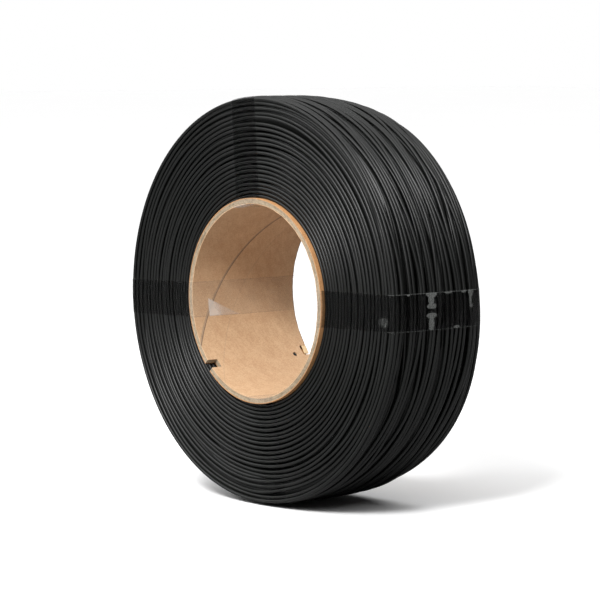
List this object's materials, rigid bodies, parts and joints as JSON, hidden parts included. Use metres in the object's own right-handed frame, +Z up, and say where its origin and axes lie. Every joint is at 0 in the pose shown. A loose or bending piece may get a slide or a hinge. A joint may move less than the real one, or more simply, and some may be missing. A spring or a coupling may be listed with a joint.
{
  "type": "filament spool",
  "caption": "Round coil of dark printer filament wound on a plain cardboard core with a keying slot in each end, without flanges, held together by loops of clear tape.",
  "frame": {"origin": "middle of the cardboard core, on its axis", "axes": "+Y along the core's axis from the front end to the back end, +Z up with the coil standing on its rim, +X to the right seen from the front"},
  "size_m": [0.205, 0.0682, 0.2054],
  "materials": {
    "kraft_liner": "smooth brown kraft paper",
    "grey_board": "cut grey-tan board with fine ply lines",
    "kraft_wrap": "brown kraft paper",
    "filament": "dark grey strand with a soft sheen",
    "clear_tape": "clear film with a few bubbles and wrinkles"
  },
  "bodies": {
    "root": {"core_liner": "kraft_liner", "core_ply_1": "grey_board", "core_ply_2": "grey_board", "core_ply_3": "grey_board", "core_ply_4": "grey_board", "core_ply_5": "grey_board", "core_outer_wrap": "kraft_wrap", "strand_start_end": "filament", "filament_layer_01": "filament", "filament_layer_02": "filament", "filament_layer_03": "filament", "filament_layer_04": "filament", "filament_layer_05": "filament", "filament_layer_06": "filament", "filament_layer_07": "filament", "filament_layer_08": "filament", "filament_layer_09": "filament", "filament_layer_10": "filament", "filament_layer_11": "filament", "filament_layer_12": "filament", "filament_layer_13": "filament", "filament_layer_14": "filament", "filament_layer_15": "filament", "filament_layer_16": "filament", "filament_layer_17": "filament", "filament_layer_18": "filament", "filament_layer_19": "filament", "filament_layer_20": "filament", "filament_layer_21": "filament", "filament_layer_22": "filament", "filament_layer_23": "filament", "filament_layer_24": "filament", "filament_layer_25": "filament", "filament_layer_26": "filament", "filament_layer_27": "filament", "filament_layer_28": "filament", "filament_layer_29": "filament", "tape_strap_top": "clear_tape", "tape_strap_right": "clear_tape", "tape_strap_bottom": "clear_tape", "tape_strap_left": "clear_tape"}
  },
  "joints": []
}
